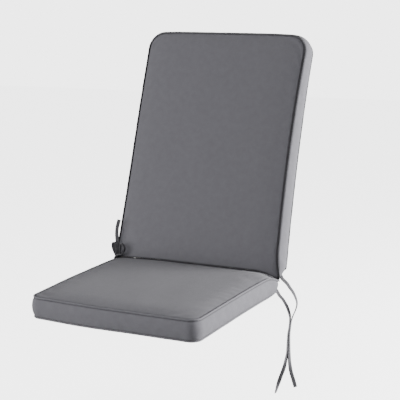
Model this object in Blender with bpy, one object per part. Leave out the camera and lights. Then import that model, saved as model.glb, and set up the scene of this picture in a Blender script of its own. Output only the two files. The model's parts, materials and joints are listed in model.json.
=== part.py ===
"""High-back chair pad: a box-edged seat pad and a back pad, joined along a fold.

Units are metres and +Z is up. The origin is the middle of the seat pad's underside. +X is to
the right of someone facing the pad, and the seat's front edge faces -Y. Each pad is built in a
frame of its own on the fold line: x across, v away from the fold, and w from the face that is
sat on or leant on towards the face that rests on the chair.
"""

import math

import bmesh
import bpy
from mathutils import Matrix, Vector

# Driving dimensions
WIDTH = 0.500
SEAT_DEPTH = 0.480
BACK_HEIGHT = 0.690
THICKNESS = 0.060
RECLINE = math.radians(19.5)
SEAT_CORNER = 0.028
BACK_CORNER = 0.045
FOLD_CORNER = 0.012

# Cover
CLOTH = 0.0010
PIPING_RADIUS = 0.0025
SLEEVE_WALL = 0.0006
PIPING_JOIN = 0.0015
BOXING_INSET = 0.0010
GAP = 0.0003

# Zip at the fold end of each pad
ZIP_INSET = 0.0050
ZIP_TAPE_WIDTH = 0.0144
COIL_WIDTH = 0.0050
COIL_HEIGHT = 0.0012
FACING_END = 0.0060
ZIP_END = 0.0110
SLIDER_LENGTH = 0.011
SLIDER_WIDTH = 0.0090
SLIDER_PLATE = 0.0009
TAB_LENGTH = 0.018
TAB_WIDTH = 0.0050
SLIDER_END_MARGIN = 0.034

# Ties: flat fabric tape, drawn as a round tube of the tape's own cross-section area
TIE_RADIUS = 0.0020
TIE_ROOT_DEPTH = 0.036
TIE_ROOT_ANGLE = 25.0
TIE_ROOT_GAP = 0.0010
TIE_ROOT_RUN = 0.0050
TIE_SPACING = 0.0080
BOW_SPACING = 0.0055

FOLD_SEAM_RADIUS = 0.0010
ARC_STEPS = 6
FOAM_CHAMFER = 0.0057

# Colours: linear red, green, blue
GREY_CLOTH = (0.155, 0.152, 0.170)
GREY_TIE = (0.120, 0.118, 0.130)
FOAM = (0.80, 0.76, 0.62)
CORD_WHITE = (0.75, 0.74, 0.70)
ZIP_GREY = (0.10, 0.10, 0.11)
SLIDER_METAL = (0.55, 0.55, 0.57)

# Routes of the ties in millimetres, from the end of the fold line: outwards, back and up.
# Each starts where the tape leaves the corner seam of its pad.
LOWER_RIGHT = [(7, -3, -43), (11, 0, -51), (17, 3, -63), (26, 6, -74), (33, 8, -86), (38, 10, -97),
               (42, 11, -109), (45.5, 11, -123), (45, 11, -138), (43.5, 10, -155), (40.5, 9, -174),
               (39.5, 8, -201), (39, 7, -227), (36, 5, -249), (31, 3, -273), (23, 1, -297),
               (15, -1, -322), (7, -3, -352)]
UPPER_RIGHT = [(9, 32, -14), (15, 28, -21), (29, 28, -33), (38, 27, -44), (47, 26, -54),
               (55, 24, -66), (61, 22, -79), (62, 21, -90), (59, 19, -104), (52, 18, -121),
               (47, 17, -137), (44.5, 16, -157), (42.5, 15, -180), (42.5, 14, -204),
               (43, 13, -227), (44, 12, -255), (49, 10, -283), (57, 9, -307), (64, 8, -328)]
LOWER_LEFT = [(7, 0, -33), (8, 4, -22), (6, 7, -13), (2, 5, -7), (-2, 0, 4), (-5, -5, 13),
              (-7, -6, 27), (-11, -7, 39), (-17, -8, 38), (-23, -9, 28), (-21, -9, 16),
              (-13, -10, 8), (-4, -12, 6), (4, -15, 3), (9, -15, -7), (11, -12, -22),
              (12, -9, -42), (12, -6, -70), (13, -5, -100), (12, -4, -130), (11, -3, -155)]
UPPER_LEFT = [(10, 31, -12), (13, 20, -10), (11, 9, -6), (11, 1, 0), (13, -3, 10),
              (17, -5, 24), (17, -6, 36), (12, -6, 42), (7, -6, 37), (4, -6, 25), (4, -7, 12),
              (6, -8, 1), (9, -4, -6), (6, 1, -2), (4, 1, 9), (4, 1, 22), (7, 2, 42),
              (11, 6, 64), (11, 10, 84), (6, 14, 107)]


def clear_scene():
    for obj in list(bpy.data.objects):
        bpy.data.objects.remove(obj, do_unlink=True)


def material(name, colour, roughness, metallic=0.0):
    mat = bpy.data.materials.new(name)
    mat.use_nodes = True
    bsdf = mat.node_tree.nodes["Principled BSDF"]
    bsdf.inputs["Base Color"].default_value = (*colour, 1.0)
    bsdf.inputs["Roughness"].default_value = roughness
    bsdf.inputs["Metallic"].default_value = metallic
    return mat


def make_frame(name, matrix):
    """An empty on the fold line, which carries a pad's frame."""
    empty = bpy.data.objects.new(name, None)
    bpy.context.scene.collection.objects.link(empty)
    empty.matrix_world = matrix
    return empty


def frame_matrix(across, along, through):
    """World matrix of a pad's frame, whose origin is the middle of the fold line."""
    matrix = Matrix((across, along, through)).transposed().to_4x4()
    matrix.translation = Vector((0.0, SEAT_DEPTH / 2, THICKNESS))
    return matrix


def add_object(name, mesh, mat, parent=None, location=(0.0, 0.0, 0.0)):
    obj = bpy.data.objects.new(name, mesh)
    bpy.context.scene.collection.objects.link(obj)
    mesh.materials.clear()
    mesh.materials.append(mat)
    obj.parent = parent
    obj.location = location
    return obj


def mesh_from_bmesh(name, bm):
    bmesh.ops.recalc_face_normals(bm, faces=bm.faces)
    mesh = bpy.data.meshes.new(name)
    bm.to_mesh(mesh)
    bm.free()
    return mesh


def corner_arc(cx, cv, radius, start_deg):
    """A quarter circle in the pad's plane, anticlockwise from start_deg."""
    angles = [math.radians(start_deg + 90.0 * i / ARC_STEPS) for i in range(ARC_STEPS + 1)]
    return [(cx + radius * math.cos(a), cv + radius * math.sin(a)) for a in angles]


def outline(length, end_corner, inset):
    """The pad's rounded outline, moved in by inset, from the middle of the fold end round."""
    half = WIDTH / 2
    near = half - FOLD_CORNER
    far = half - end_corner
    fold_v = GAP + FOLD_CORNER
    end_v = length - end_corner
    small = FOLD_CORNER - inset
    large = end_corner - inset
    return (corner_arc(near, fold_v, small, 270) + corner_arc(far, end_v, large, 0)
            + corner_arc(-far, end_v, large, 90) + corner_arc(-near, fold_v, small, 180))


def slab(name, points, w0, w1):
    """A flat piece: the outline extruded from w0 to w1."""
    bm = bmesh.new()
    face = bm.faces.new([bm.verts.new((x, v, w0)) for x, v in points])
    moved = bmesh.ops.extrude_face_region(bm, geom=[face])["geom"]
    verts = [item for item in moved if isinstance(item, bmesh.types.BMVert)]
    bmesh.ops.translate(bm, verts=verts, vec=(0.0, 0.0, w1 - w0))
    bmesh.ops.triangulate(bm, faces=[f for f in bm.faces if len(f.verts) > 4])
    return mesh_from_bmesh(name, bm)


def block(name, low, high):
    """A plain box from its lowest to its highest corner."""
    bm = bmesh.new()
    bmesh.ops.create_cube(bm, size=1.0)
    size = Vector(high) - Vector(low)
    bmesh.ops.scale(bm, verts=bm.verts, vec=size)
    bmesh.ops.translate(bm, verts=bm.verts, vec=(Vector(high) + Vector(low)) / 2)
    return mesh_from_bmesh(name, bm)


def add_modifier(obj, kind, **values):
    modifier = obj.modifiers.new(kind.title(), kind)
    for key, value in values.items():
        setattr(modifier, key, value)
    return modifier


def tube_mesh(name, points, radius, resolution, cyclic=False, caps=True):
    """A round tube along the points, as a mesh."""
    curve = bpy.data.curves.new(name, "CURVE")
    curve.dimensions = "3D"
    curve.bevel_depth = radius
    curve.bevel_resolution = resolution
    curve.use_fill_caps = caps
    spline = curve.splines.new("POLY")
    spline.points.add(len(points) - 1)
    spline.use_cyclic_u = cyclic
    for slot, point in zip(spline.points, points):
        slot.co = (*point, 1.0)
    guide = bpy.data.objects.new(name, curve)
    bpy.context.scene.collection.objects.link(guide)
    bpy.context.view_layer.update()
    evaluated = guide.evaluated_get(bpy.context.evaluated_depsgraph_get())
    mesh = bpy.data.meshes.new_from_object(evaluated)
    bpy.data.objects.remove(guide, do_unlink=True)
    bm = bmesh.new()
    bm.from_mesh(mesh)
    bmesh.ops.remove_doubles(bm, verts=bm.verts, dist=0.00001)
    bmesh.ops.recalc_face_normals(bm, faces=bm.faces)
    bm.to_mesh(mesh)
    bm.free()
    mesh.shade_smooth()
    return mesh


def foam_core(pad, length, end_corner, mat, frame):
    """The foam slab, chamfered so that it lies clear inside the piping."""
    side = BOXING_INSET + CLOTH + GAP
    inner = outline(length, end_corner, side)
    fold_v = GAP + ZIP_INSET + CLOTH + 0.0005
    points = [(x, max(v, fold_v)) for x, v in inner]
    cleaned = [p for i, p in enumerate(points) if math.dist(p, points[i - 1]) > 0.0002]
    mesh = slab(pad + "_foam_core", cleaned, CLOTH + GAP, THICKNESS - CLOTH - GAP)
    obj = add_object(pad + "_foam_core", mesh, mat, frame)
    bm = bmesh.new()
    bm.from_mesh(mesh)
    flat = [f for f in bm.faces if abs(f.normal.z) > 0.9]
    bmesh.ops.dissolve_faces(bm, faces=[f for f in flat if f.normal.z > 0])
    bmesh.ops.dissolve_faces(bm, faces=[f for f in bm.faces if f.normal.z < -0.9])
    rims = [e for e in bm.edges if sum(abs(f.normal.z) > 0.9 for f in e.link_faces) == 1]
    bmesh.ops.bevel(bm, geom=rims, offset=FOAM_CHAMFER, segments=1, affect="EDGES")
    bm.to_mesh(mesh)
    bm.free()
    return obj


def face_panels(pad, length, end_corner, names, mat, frame):
    """The two flat fabric faces, inside the piping."""
    points = outline(length, end_corner, 2 * PIPING_RADIUS + GAP)
    for label, w0 in zip(names, (0.0, THICKNESS - CLOTH)):
        mesh = slab(f"{pad}_{label}_panel", points, w0, w0 + CLOTH)
        add_object(mesh.name, mesh, mat, frame)


def piping(pad, length, end_corner, names, cloth, cord, frame):
    """Bias-cut sleeves round both rims, each with a filler cord inside."""
    ring = outline(length, end_corner, PIPING_RADIUS)
    join = [(PIPING_JOIN, ring[0][1])] + ring + [(-PIPING_JOIN, ring[0][1])]
    low_w = PIPING_RADIUS + GAP
    for label, w in zip(names, (low_w, THICKNESS - low_w)):
        sleeve_points = [(x, v, w) for x, v in join]
        mesh = tube_mesh(f"{pad}_{label}_piping", sleeve_points, PIPING_RADIUS, 2, caps=False)
        sleeve = add_object(mesh.name, mesh, cloth, frame)
        add_modifier(sleeve, "SOLIDIFY", thickness=SLEEVE_WALL, offset=-1.0, use_rim=True)
        core_radius = PIPING_RADIUS - SLEEVE_WALL - 2 * GAP
        core_points = [(x, v, w) for x, v in ring]
        core = tube_mesh(f"{pad}_{label}_piping_cord", core_points, core_radius, 1, cyclic=True)
        add_object(core.name, core, cord, frame)


def boxing(pad, length, end_corner, mat, frame):
    """The strip that makes the pad's edge, open along the fold end, where the zip is."""
    path = outline(length, end_corner, BOXING_INSET)
    low = 2 * PIPING_RADIUS + 3 * GAP
    bm = bmesh.new()
    lower = [bm.verts.new((x, v, low)) for x, v in path]
    edges = [bm.edges.new(pair) for pair in zip(lower, lower[1:])]
    raised = bmesh.ops.extrude_edge_only(bm, edges=edges)["geom"]
    verts = [item for item in raised if isinstance(item, bmesh.types.BMVert)]
    bmesh.ops.translate(bm, verts=verts, vec=(0.0, 0.0, THICKNESS - 2 * low))
    bmesh.ops.recalc_face_normals(bm, faces=bm.faces)
    centre = Vector((0.0, length / 2, THICKNESS / 2))
    sample = bm.faces[0]
    if sample.normal.dot(sample.calc_center_median() - centre) < 0:
        bmesh.ops.reverse_faces(bm, faces=bm.faces)
    mesh = bpy.data.meshes.new(pad + "_boxing")
    bm.to_mesh(mesh)
    bm.free()
    strip = add_object(pad + "_boxing", mesh, mat, frame)
    add_modifier(strip, "SOLIDIFY", thickness=CLOTH, offset=-1.0, use_even_offset=True)


def zip_closure(pad, cloth, tape, frame):
    """Two fabric facings with the zip's tapes and closed coil between them."""
    v0 = GAP + ZIP_INSET
    facing_half = WIDTH / 2 - FACING_END
    zip_half = WIDTH / 2 - ZIP_END
    low = 2 * PIPING_RADIUS + 3 * GAP
    middle = THICKNESS / 2
    tape_half = ZIP_TAPE_WIDTH / 2
    spans = {"inner_zip_facing": (low, middle - tape_half - GAP),
             "outer_zip_facing": (middle + tape_half + GAP, THICKNESS - low)}
    for label, (w0, w1) in spans.items():
        mesh = block(f"{pad}_{label}", (-facing_half, v0, w0), (facing_half, v0 + CLOTH, w1))
        add_object(mesh.name, mesh, cloth, frame)
    section = [(v0 + CLOTH, -tape_half), (v0, -tape_half), (v0, -COIL_WIDTH / 2),
               (v0 - COIL_HEIGHT, -COIL_WIDTH / 2), (v0 - COIL_HEIGHT, COIL_WIDTH / 2),
               (v0, COIL_WIDTH / 2), (v0, tape_half), (v0 + CLOTH, tape_half)]
    bm = bmesh.new()
    face = bm.faces.new([bm.verts.new((-zip_half, v, middle + w)) for v, w in section])
    moved = bmesh.ops.extrude_face_region(bm, geom=[face])["geom"]
    verts = [item for item in moved if isinstance(item, bmesh.types.BMVert)]
    bmesh.ops.translate(bm, verts=verts, vec=(2 * zip_half, 0.0, 0.0))
    bmesh.ops.triangulate(bm, faces=[f for f in bm.faces if len(f.verts) > 4])
    mesh = mesh_from_bmesh(pad + "_zip", bm)
    add_object(mesh.name, mesh, tape, frame)


def zip_slider(pad, mat, frame):
    """The zip's slider: a saddle over the coil with a short flat tab, at the closed end."""
    under = ZIP_INSET - COIL_HEIGHT
    top = under - SLIDER_PLATE
    half_width = SLIDER_WIDTH / 2
    inner = COIL_WIDTH / 2 + GAP
    section = [(-half_width, GAP), (-half_width, -(ZIP_INSET - top)),
               (half_width, -(ZIP_INSET - top)), (half_width, GAP), (inner, GAP),
               (inner, -COIL_HEIGHT), (-inner, -COIL_HEIGHT), (-inner, GAP)]
    bm = bmesh.new()
    ring = [bm.verts.new((-SLIDER_LENGTH / 2, v - 2 * GAP, w)) for w, v in section]
    face = bm.faces.new(ring)
    moved = bmesh.ops.extrude_face_region(bm, geom=[face])["geom"]
    verts = [item for item in moved if isinstance(item, bmesh.types.BMVert)]
    bmesh.ops.translate(bm, verts=verts, vec=(SLIDER_LENGTH, 0.0, 0.0))
    bmesh.ops.triangulate(bm, faces=[f for f in bm.faces if len(f.verts) > 4])
    body_mesh = mesh_from_bmesh(pad + "_zip_slider", bm)
    origin = (SLIDER_END_MARGIN - WIDTH / 2, GAP + ZIP_INSET, THICKNESS / 2)
    body = add_object(pad + "_zip_slider", body_mesh, mat, frame, origin)
    crown = -(ZIP_INSET - top) - 2 * GAP
    tab_mesh = block("tab", (-SLIDER_LENGTH / 4, crown - 0.0010, -TAB_WIDTH / 2),
                     (TAB_LENGTH - SLIDER_LENGTH / 4, crown + 0.0002, TAB_WIDTH / 2))
    tab = add_object("tab", tab_mesh, mat, frame, origin)
    tab.hide_render = True
    tab.display_type = "WIRE"
    add_modifier(body, "BOOLEAN", operation="UNION", object=tab, solver="EXACT")
    return body


def fold_seam(mat):
    """The sewn strip on the fold line that both pads swing about."""
    half = WIDTH / 2 - FOLD_CORNER
    line = [(-half, SEAT_DEPTH / 2, THICKNESS), (half, SEAT_DEPTH / 2, THICKNESS)]
    mesh = tube_mesh("fold_seam_strip", line, FOLD_SEAM_RADIUS, 2)
    add_object("fold_seam_strip", mesh, mat)


def smooth_path(points, spacing):
    """Points every spacing along a Catmull-Rom curve through the route's points."""
    guides = [Vector(p) for p in points]
    guides = [2 * guides[0] - guides[1]] + guides + [2 * guides[-1] - guides[-2]]
    fine = []
    for a, b, c, d in zip(guides, guides[1:], guides[2:], guides[3:]):
        for step in range(12):
            t = step / 12
            fine.append(0.5 * (2 * b + (c - a) * t + (2 * a - 5 * b + 4 * c - d) * t ** 2
                               + (3 * b - a - 3 * c + d) * t ** 3))
    fine.append(guides[-2])
    travelled = [0.0]
    for first, second in zip(fine, fine[1:]):
        travelled.append(travelled[-1] + (second - first).length)
    count = max(2, round(travelled[-1] / spacing))
    path = []
    index = 0
    for k in range(count + 1):
        target = travelled[-1] * k / count
        while index < len(travelled) - 2 and travelled[index + 1] < target:
            index += 1
        share = (target - travelled[index]) / (travelled[index + 1] - travelled[index])
        path.append(fine[index].lerp(fine[index + 1], share))
    return path


def tie_root(frame, side):
    """The first two points of a tie: off the pad's corner seam, then straight out from it."""
    lean = math.radians(TIE_ROOT_ANGLE)
    near = FOLD_CORNER - BOXING_INSET + TIE_ROOT_GAP
    points = []
    for reach in (near, near + TIE_ROOT_RUN):
        along = GAP + FOLD_CORNER - reach * math.sin(lean)
        point = frame.matrix_world @ Vector((0.0, along, TIE_ROOT_DEPTH))
        point.x = side * (WIDTH / 2 - FOLD_CORNER + reach * math.cos(lean))
        points.append(point)
    return points


def tie(name, route, side, frame, spacing, mat):
    """One fabric tie along its route."""
    points = tie_root(frame, side)
    for out, back, up in route:
        points.append(Vector((side * (WIDTH / 2 + out / 1000),
                              SEAT_DEPTH / 2 + back / 1000,
                              THICKNESS + up / 1000)))
    mesh = tube_mesh(name, smooth_path(points, spacing), TIE_RADIUS, 2)
    add_object(name, mesh, mat)


def build_pad(pad, length, end_corner, names, mats, frame):
    foam_core(pad, length, end_corner, mats["foam"], frame)
    face_panels(pad, length, end_corner, names, mats["cloth"], frame)
    piping(pad, length, end_corner, names, mats["cloth"], mats["cord"], frame)
    boxing(pad, length, end_corner, mats["cloth"], frame)
    zip_closure(pad, mats["cloth"], mats["zip"], frame)
    zip_slider(pad, mats["slider"], frame)


def main():
    clear_scene()
    mats = {
        "cloth": material("grey_cloth", GREY_CLOTH, 0.9),
        "tie": material("tie_cloth", GREY_TIE, 0.9),
        "foam": material("foam", FOAM, 0.95),
        "cord": material("piping_cord", CORD_WHITE, 0.9),
        "zip": material("zip_tape", ZIP_GREY, 0.8),
        "slider": material("slider_metal", SLIDER_METAL, 0.4, 0.9),
    }
    lean = math.sin(RECLINE)
    rise = math.cos(RECLINE)
    seat = make_frame("seat_frame", frame_matrix((1, 0, 0), (0, -1, 0), (0, 0, -1)))
    back = make_frame("back_frame", frame_matrix((-1, 0, 0), (0, lean, rise), (0, rise, -lean)))
    bpy.context.view_layer.update()
    build_pad("seat", SEAT_DEPTH, SEAT_CORNER, ("top", "bottom"), mats, seat)
    build_pad("back", BACK_HEIGHT, BACK_CORNER, ("front", "rear"), mats, back)
    fold_seam(mats["cloth"])
    tie("lower_tie_right", LOWER_RIGHT, 1, seat, TIE_SPACING, mats["tie"])
    tie("upper_tie_right", UPPER_RIGHT, 1, back, TIE_SPACING, mats["tie"])
    tie("lower_tie_left", LOWER_LEFT, -1, seat, BOW_SPACING, mats["tie"])
    tie("upper_tie_left", UPPER_LEFT, -1, back, BOW_SPACING, mats["tie"])
    bpy.context.view_layer.update()


main()
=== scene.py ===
"""A high-back chair pad: covers, piping, zips and ties, dressed round the fixed frame.

Everything is in metres, +Z up. Each pad is worked out in a frame of its own on the fold line:
x across, v away from the fold, and w from the face that is sat on or leant on to the other.
"""

import json
import math

import bmesh
import bpy
import numpy as np
from mathutils import Matrix, Vector


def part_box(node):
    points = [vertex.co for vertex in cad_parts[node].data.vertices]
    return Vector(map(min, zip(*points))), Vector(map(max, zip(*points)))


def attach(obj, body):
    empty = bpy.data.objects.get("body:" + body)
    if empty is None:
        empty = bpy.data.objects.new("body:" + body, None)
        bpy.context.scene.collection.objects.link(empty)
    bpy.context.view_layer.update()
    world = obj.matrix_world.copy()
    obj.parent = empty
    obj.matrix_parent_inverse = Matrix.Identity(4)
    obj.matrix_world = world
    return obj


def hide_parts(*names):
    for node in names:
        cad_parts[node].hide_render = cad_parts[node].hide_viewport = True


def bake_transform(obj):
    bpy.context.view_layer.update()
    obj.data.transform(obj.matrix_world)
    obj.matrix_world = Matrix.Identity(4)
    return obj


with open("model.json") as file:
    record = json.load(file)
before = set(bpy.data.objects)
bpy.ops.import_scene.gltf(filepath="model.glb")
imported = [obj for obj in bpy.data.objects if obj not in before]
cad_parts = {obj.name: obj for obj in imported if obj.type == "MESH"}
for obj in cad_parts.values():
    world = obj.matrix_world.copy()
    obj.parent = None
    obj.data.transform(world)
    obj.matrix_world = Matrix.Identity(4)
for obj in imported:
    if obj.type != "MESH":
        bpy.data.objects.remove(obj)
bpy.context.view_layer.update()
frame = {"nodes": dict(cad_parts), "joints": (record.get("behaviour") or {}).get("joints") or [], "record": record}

bl_info = {
    "name": "High-back chair pad",
    "version": (1, 0, 0),
    "blender": (4, 5, 0),
    "location": "View3D > Sidebar > Chair Pad",
    "description": "Builds a piped, box-edged chair pad with its ties, zips and studio",
    "category": "Add Mesh",
}

# Sizes read from the frame
JOINT = next(j for j in frame["joints"] if j["name"] == "back_fold")
REAR_FACE = next(m for m in frame["record"]["mounts"] if m["name"] == "back_rear_face")
FOLD = np.array(JOINT["pos_m"], float)
THROUGH = np.array(REAR_FACE["axis"], float)
RIM_LOW, RIM_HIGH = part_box("seat_bottom_piping")
HALF = (RIM_HIGH.x - RIM_LOW.x) / 2
THICKNESS = FOLD[2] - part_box("seat_bottom_panel")[0].z

# Sizes of the sewing, in metres
SEAT_CORNER = 0.028
BACK_CORNER = 0.045
FOLD_CORNER = 0.012
FOLD_GAP = 0.0003
PIPING_RADIUS = 0.0025
PIPING_DEPTH = 0.0028
PIPING_CORD_RADIUS = 0.0014
SEAM_INSET = 0.0046
SEAM_DEPTH = 0.0044
ZIP_INSET = 0.0050
ZIP_TAPE_HALF = 0.0072
ZIP_TAPE_THICKNESS = 0.0008
FACING_THICKNESS = 0.0011
FOAM_SHRINK = 0.0040

# The cloth simulation: how far from a seam the cloth is held, and its last frame
SEAM_HOLD = 0.0070
LAST_FRAME = 20

# Ties: where each leaves its corner seam, the same as in the frame
TIE_ROOT_DEPTH = 0.036
TIE_ROOT_ANGLE = 25.0
TIE_ROOT_REACH = 0.012
TIE_ROOT_RUN = 0.005

# The bow's knot: its middle, from the left end of the fold line, and its tape's width and height
KNOT = FOLD + np.array([-HALF - 0.0045, -0.0070, 0.0])
KNOT_TAPE = (0.0065, 0.0048)

# How far the seam's right end has drooped at the fold: across, back and up
DROOP = (0.006, 0.010, -0.022)

# How far the left end of the seam has dropped at the fold, and over what length that dies out
LOW, LOW_REACH = 0.0045, 0.035

# Routes of the ties in millimetres, from the end of the fold line: outwards, back and up
LOWER_RIGHT = [(7, -3, -43), (11, 0, -51), (17, 3, -63), (26, 6, -74), (33, 8, -86), (38, 10, -97),
               (42, 11, -109), (45.5, 11, -123), (45, 11, -138), (43.5, 10, -155), (40.5, 9, -174),
               (39.5, 8, -201), (39, 7, -227), (36, 5, -249), (31, 3, -273), (23, 1, -297),
               (15, -1, -322), (7, -3, -352)]
UPPER_RIGHT = [(9, 32, -14), (15, 28, -21), (29, 28, -33), (38, 27, -44), (47, 26, -54),
               (55, 24, -66), (61, 22, -79), (62, 21, -90), (59, 19, -104), (52, 18, -121),
               (47, 17, -137), (44.5, 16, -157), (42.5, 15, -180), (42.5, 14, -204),
               (43, 13, -227), (44, 12, -255), (49, 10, -283), (57, 9, -307), (64, 8, -328)]
LOWER_LEFT = [(7, 0, -33), (8, 4, -22), (6, 7, -13), (2, 5, -7), (-2, 0, 4), (-5, -5, 13),
              (-7, -6, 27), (-11, -7, 39), (-17, -8, 38), (-23, -9, 28), (-21, -9, 16),
              (-13, -10, 8), (-4, -12, 6), (4, -15, 3), (9, -15, -7), (11, -12, -22),
              (12, -9, -42), (12, -6, -70), (13, -5, -100), (12, -4, -130), (11, -3, -155)]
UPPER_LEFT = [(10, 31, -12), (13, 20, -10), (11, 9, -6), (11, 1, 0), (13, -3, 10),
              (17, -5, 24), (17, -6, 36), (12, -6, 42), (7, -6, 37), (4, -6, 25), (4, -7, 12),
              (6, -8, 1), (9, -4, -6), (6, 1, -2), (4, 1, 9), (4, 1, 22), (7, 2, 42),
              (11, 6, 64), (11, 10, 84), (6, 14, 107)]

# How the tapes are turned: share of the length, and degrees of the width direction from X to Y
LOWER_RIGHT_TURNS = [(0, 66), (0.25, 70), (0.35, 92), (0.50, 92), (0.62, 78), (0.72, 48),
                     (0.78, 27), (0.88, 27), (0.94, 60), (1, 95)]
UPPER_RIGHT_TURNS = [(0, 44), (0.12, 50), (0.20, 72), (0.28, 92), (0.55, 93), (0.70, 78),
                     (0.78, 58), (0.86, 27), (1, 24)]
LOWER_LEFT_TURNS = [(0, 117), (0.30, 95), (0.42, 92), (0.55, 105), (1, 117)]
UPPER_LEFT_TURNS = [(0, 117), (0.18, 80), (0.26, 50), (0.45, 55), (0.55, 80), (0.64, 30), (1, 27)]


TAU = 2 * math.pi


def smooth(t):
    """3t^2 - 2t^3 of t held between 0 and 1."""
    t = np.clip(t, 0.0, 1.0)
    return t * t * (3 - 2 * t)


def waves(a, b, size, seed):
    """A soft irregular field: the mean of nine sine waves of about that size, in seeded directions."""
    rng = np.random.default_rng(seed)
    heading, phase = rng.uniform(0, TAU, (2, 9))
    length = size * rng.uniform(0.7, 1.7, 9)
    run = a[..., None] * np.cos(heading) + b[..., None] * np.sin(heading)
    return 1.7 * np.sin(TAU * run / length + phase).mean(axis=-1)


def ripple(run, size, seed):
    """The same field along one line."""
    return waves(run, 0 * run, size, seed)


def node_points(node):
    """The corners of a frame node's mesh."""
    mesh = frame["nodes"][node].data
    points = np.zeros(len(mesh.vertices) * 3, np.float32)
    mesh.vertices.foreach_get("co", points)
    return points.reshape(-1, 3).astype(float)


class PadFrame:
    """One pad's own axes: x across, v away from the fold, w through, from the fold line."""

    def __init__(self, body, axes, end_corner, labels, **ease):
        self.body = body
        self.axes = np.array(axes, float)
        self.end_corner = end_corner
        self.labels = labels
        self.ease = ease
        along = (node_points(f"{body}_{labels[0]}_piping") - FOLD) @ self.axes[1]
        self.length = float(along.max())

    def world(self, x, v, w):
        """The frame's place for local x, v and w."""
        return FOLD + np.stack(np.broadcast_arrays(x, v, w), -1) @ self.axes

    def settled(self, x, v, w):
        """World points after the pad has settled. The sides stretch, flare with the square of
        the distance from mid-length, and splay towards the rear face, and the near face slides to
        the left. The far edge rises in its middle and falls at its corners, and the far left
        corner is drawn back. The rear face sags on the left of the far edge. The near face sinks
        a little at the fold, and drops at the fold line's left end. Within a Gaussian reach of a
        corner at the fold, the rear face is pinched and tucked up, the wall swells, and the near
        face droops with the right seam."""
        ease = self.ease
        side = x / HALF
        right = side * self.axes[0, 0]
        ends = 2 * v / self.length - 1
        deep = w / THICKNESS
        shallow = np.clip(1 - deep, 0, 1)
        far = smooth(v / self.length)
        reach = ease["corner_reach"]
        corner = np.exp(-((HALF - np.abs(x)) ** 2 + v ** 2) / reach ** 2)
        foot = np.where(right > 0, ease["foot_flare"][0], ease["foot_flare"][1])
        top = np.where(right > 0, ease["end_flare"][0], ease["end_flare"][1])
        flare = np.where(ends > 0, top, foot) * ends ** 2
        splay = ease["splay"] * deep * (0.25 - 0.55 * ends)
        slide = ease["slide"] * shallow * (1 - 0.6 * ends ** 2) * self.axes[0, 0]
        drawn = smooth(-right) * smooth(ends)
        sag = ease["sag"] * deep * smooth(ends) * np.exp(-((right + 0.45) / 0.45) ** 2)
        x = x + side * (ease["stretch"] + flare + splay) - slide + ease["corner_in"] * drawn
        fall = ease["end_fall"] * side ** 6 * (1 - 0.5 * deep)
        v = v + far * (ease["end_rise"] * (1 - 0.7 * right) - fall)
        v = v - ease["corner_back"] * drawn + ease["tuck"] * corner * deep ** 3
        swell = ease["swell"] * corner * np.sqrt(np.clip(4 * deep * shallow, 0, 1))
        x = x + side * swell * np.where(right > 0, 0.9, 0)
        v = v - swell
        v = v - ease["sunk"] * shallow * np.exp(-(v / 0.06) ** 2)
        w = w + sag - ease["pinch"] * corner * deep
        droop = corner * (right > 0) * shallow ** 0.9
        low = LOW * smooth(-1.6 * right - 0.6) * np.exp(-v / LOW_REACH) * shallow
        moved = droop[..., None] * np.array(DROOP) - low[..., None] * np.array([0, 0, 1])
        return self.world(x, v, w) + moved

    def depth_in(self, x, v):
        """How far a point is inside the rounded outline."""
        radius = np.where(v > self.length / 2, self.end_corner, FOLD_CORNER)
        past_x = np.abs(x) - (HALF - radius)
        past_v = np.maximum(v - (self.length - radius), FOLD_GAP + radius - v)
        outside = np.hypot(np.maximum(past_x, 0), np.maximum(past_v, 0))
        return radius - outside - np.minimum(np.maximum(past_x, past_v), 0)

    def rim(self, inset, straight, turn):
        """The rounded outline, moved in by inset, anticlockwise from the fold's low corner. On each
        side a circle's centre stays at a corner while its angle turns 45 degrees, runs straight to
        the next corner, and turns 45 degrees more. Returns points, outward normals, length run."""
        fold_x, far_x = HALF - FOLD_CORNER, HALF - self.end_corner
        near, far = FOLD_GAP + FOLD_CORNER, self.length - self.end_corner
        centres = np.array([(-fold_x, near), (fold_x, near), (far_x, far), (-far_x, far)])
        radii = np.array([FOLD_CORNER, FOLD_CORNER, self.end_corner, self.end_corner]) - inset
        points, normals = [], []
        for k in range(4):
            cells = straight[k % 2]
            slide = np.concatenate([np.zeros(turn), np.arange(cells) / cells, np.ones(turn)])
            bend = np.concatenate([np.arange(turn) / turn - 1, np.zeros(cells),
                                   np.arange(turn) / turn])
            angle = math.radians(270 + 90 * k) + math.radians(45) * bend
            normal = np.stack([np.cos(angle), np.sin(angle)], -1)
            other = (k + 1) % 4
            centre = centres[k] + slide[:, None] * (centres[other] - centres[k])
            radius = radii[k] + slide * (radii[other] - radii[k])
            points.append(centre + radius[:, None] * normal)
            normals.append(normal)
        points, normals = np.concatenate(points), np.concatenate(normals)
        step = np.linalg.norm(np.roll(points, -1, axis=0) - points, axis=1)
        return points, normals, np.concatenate([[0.0], np.cumsum(step)])


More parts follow.
